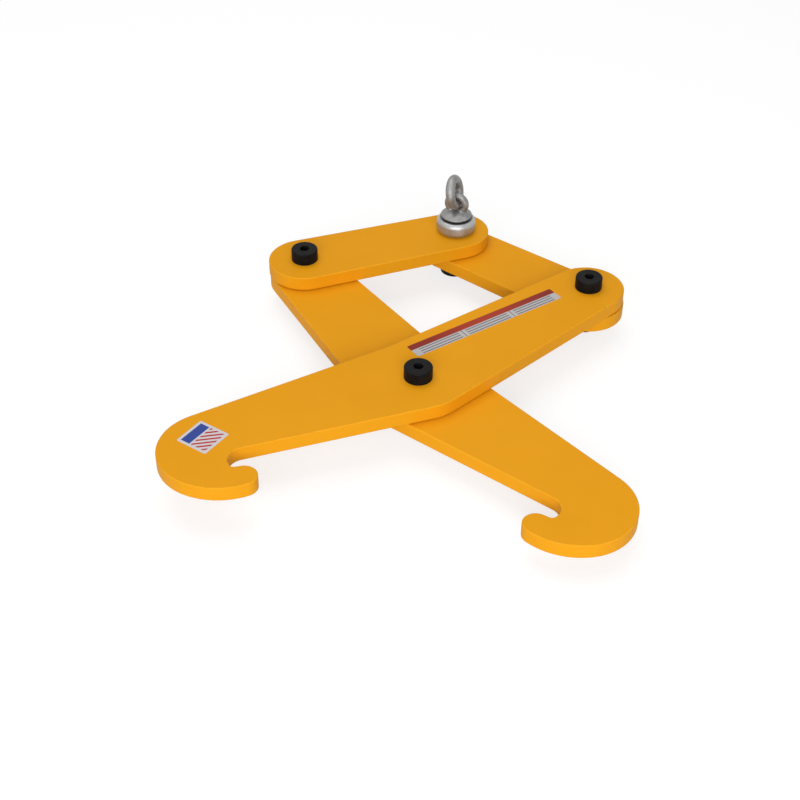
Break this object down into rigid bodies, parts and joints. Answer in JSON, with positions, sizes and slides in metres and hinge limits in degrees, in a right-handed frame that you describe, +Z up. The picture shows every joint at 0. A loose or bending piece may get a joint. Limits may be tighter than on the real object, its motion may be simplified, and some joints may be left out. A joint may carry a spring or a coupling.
{
  "type": "lifting tongs",
  "caption": "Scissor lifting tongs of painted steel plate: hooked arms crossed at a pivot, links from the arms to an apex, and a forged eye with a loose ring, turning on the apex.",
  "frame": {"origin": "the end of the centre pivot screw, on the surface that the tongs lie on", "axes": "+Z up along the pivots, +Y from the centre pivot to the apex eye, +X to the right, the hooks at -Y"},
  "size_m": [0.3732, 0.4234, 0.1015],
  "materials": {
    "yellow_paint": "satin",
    "black_oxide": "satin",
    "forged_steel": "satin",
    "zinc_plate": "polished",
    "bronze": "satin",
    "nylon": "matte",
    "label_film": "satin"
  },
  "bodies": {
    "upper_arm": {"upper_arm": "yellow_paint", "arm_label": "label_film", "hook_label": "label_film", "center_pivot_screw": "black_oxide", "center_thrust_washer": "bronze", "center_flat_washer": "black_oxide", "center_lock_nut": "black_oxide", "center_nylon_ring": "nylon", "right_pivot_screw": "black_oxide", "right_thrust_washer": "bronze", "right_flat_washer": "black_oxide", "right_lock_nut": "black_oxide", "right_nylon_ring": "nylon"},
    "lower_arm": {"lower_arm": "yellow_paint", "left_pivot_screw": "black_oxide", "left_thrust_washer": "bronze", "left_flat_washer": "black_oxide", "left_lock_nut": "black_oxide", "left_nylon_ring": "nylon"},
    "upper_link": {"upper_link": "yellow_paint", "eye_collar": "zinc_plate", "apex_thrust_washer": "bronze"},
    "lower_link": {"lower_link": "yellow_paint"},
    "eye": {"lifting_eye": "forged_steel", "apex_flat_washer": "black_oxide", "apex_lock_nut": "black_oxide", "apex_nylon_ring": "nylon"},
    "ring": {"lifting_ring": "forged_steel"}
  },
  "joints": [
    {"name": "scissor", "type": "hinge", "parent": "upper_arm", "child": "lower_arm", "pos_m": [0, 0, 0], "axis": [0, 0, 1], "range_deg": [-43, 6.8]},
    {"name": "right_pivot", "type": "hinge", "parent": "upper_arm", "child": "lower_link", "pos_m": [0.12942, 0.15666, 0], "axis": [0, 0, 1], "range_deg": [-57.8, 9.2]},
    {"name": "left_pivot", "type": "hinge", "parent": "lower_arm", "child": "upper_link", "pos_m": [-0.12942, 0.15666, 0], "axis": [0, 0, 1], "range_deg": [-9.2, 57.8]},
    {"name": "eye_swivel", "type": "hinge", "parent": "upper_link", "child": "eye", "pos_m": [0, 0.2305, 0], "axis": [0, 0, 1], "continuous": true},
    {"name": "ring_swing", "type": "hinge", "parent": "eye", "child": "ring", "pos_m": [0, 0.2305, 0.0739], "axis": [0.1668, 0.986, 0], "range_deg": [-98, 122]}
  ],
  "couplings": [
    {"joint": "right_pivot", "follows": "scissor", "ratio": 1.3425},
    {"joint": "left_pivot", "follows": "scissor", "ratio": -1.3425}
  ]
}
